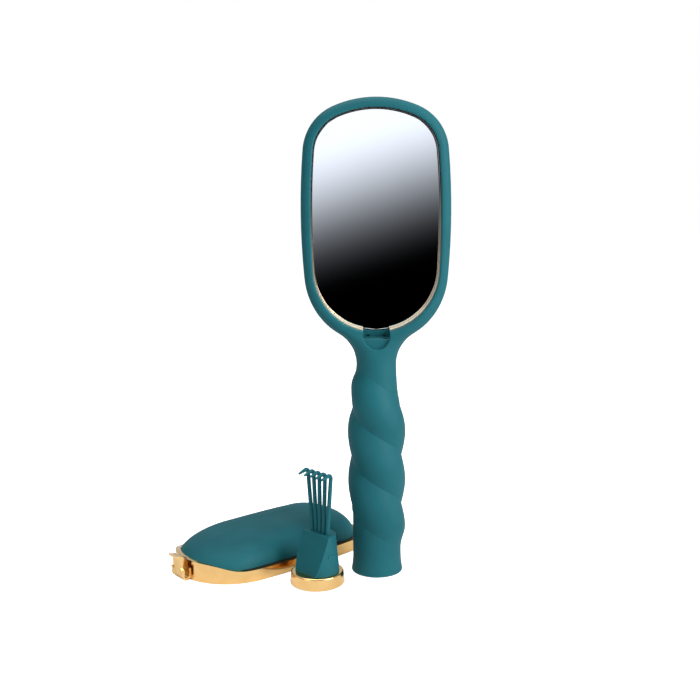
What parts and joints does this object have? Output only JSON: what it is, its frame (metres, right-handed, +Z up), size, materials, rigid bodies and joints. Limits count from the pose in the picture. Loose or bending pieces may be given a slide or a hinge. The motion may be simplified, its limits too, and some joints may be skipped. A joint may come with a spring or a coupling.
{
  "type": "boar bristle styling brush",
  "caption": "Paddle hair brush on a twisted handle, bristles on one side and a mirror on the other, with a domed clip-in cover, its sprung latch, and a cleaning rake that plugs into the handle.",
  "frame": {"origin": "centre of the mouth of the socket in the handle's end, where the brush stands", "axes": "+Z up the handle, mirror facing -Y, bristles facing +Y"},
  "size_m": [0.1431, 0.103, 0.239],
  "materials": {
    "soft_touch_teal": "soft-touch coated, satin",
    "gold_plated": "gold plated, polished",
    "mirror_glass": "silvered glass",
    "foam_tape": "foam adhesive",
    "cushion_rubber": "matt rubber",
    "boar_bristle": "natural boar bristle"
  },
  "bodies": {
    "brush": {"brush_body": "soft_touch_teal", "recess_liner": "gold_plated", "mirror_glass": "mirror_glass", "mirror_pad": "foam_tape", "bristle_cushion": "cushion_rubber", "bristle_row_01": "boar_bristle", "bristle_row_02": "boar_bristle", "bristle_row_03": "boar_bristle", "bristle_row_04": "boar_bristle", "bristle_row_05": "boar_bristle", "bristle_row_06": "boar_bristle", "bristle_row_07": "boar_bristle", "bristle_row_08": "boar_bristle", "bristle_row_09": "boar_bristle", "bristle_row_10": "boar_bristle", "bristle_row_11": "boar_bristle", "bristle_row_12": "boar_bristle", "bristle_row_13": "boar_bristle"},
    "cover": {"cover_tray": "gold_plated", "cover_dome": "soft_touch_teal"},
    "latch": {"latch_arm": "gold_plated"},
    "tool": {"tool_cap": "gold_plated", "tool_plug": "soft_touch_teal", "rake_tine_1": "soft_touch_teal", "rake_tine_2": "soft_touch_teal", "rake_tine_3": "soft_touch_teal", "rake_tine_4": "soft_touch_teal", "rake_tine_5": "soft_touch_teal"}
  },
  "joints": [
    {"name": "cover_lift", "type": "slide", "parent": "brush", "child": "cover", "axis": [0, 0, 1], "range_m": [0, 0.085]},
    {"name": "latch_press", "type": "hinge", "parent": "cover", "child": "latch", "pos_m": [-0.10004, -0.01035, 0.0026], "axis": [-0.6441, 0.7649, 0], "range_deg": [0, 12], "stiffness_Nm_per_rad": 0.3},
    {"name": "tool_lift", "type": "slide", "parent": "brush", "child": "tool", "axis": [0, 0, 1], "range_m": [0, 0.055]}
  ]
}
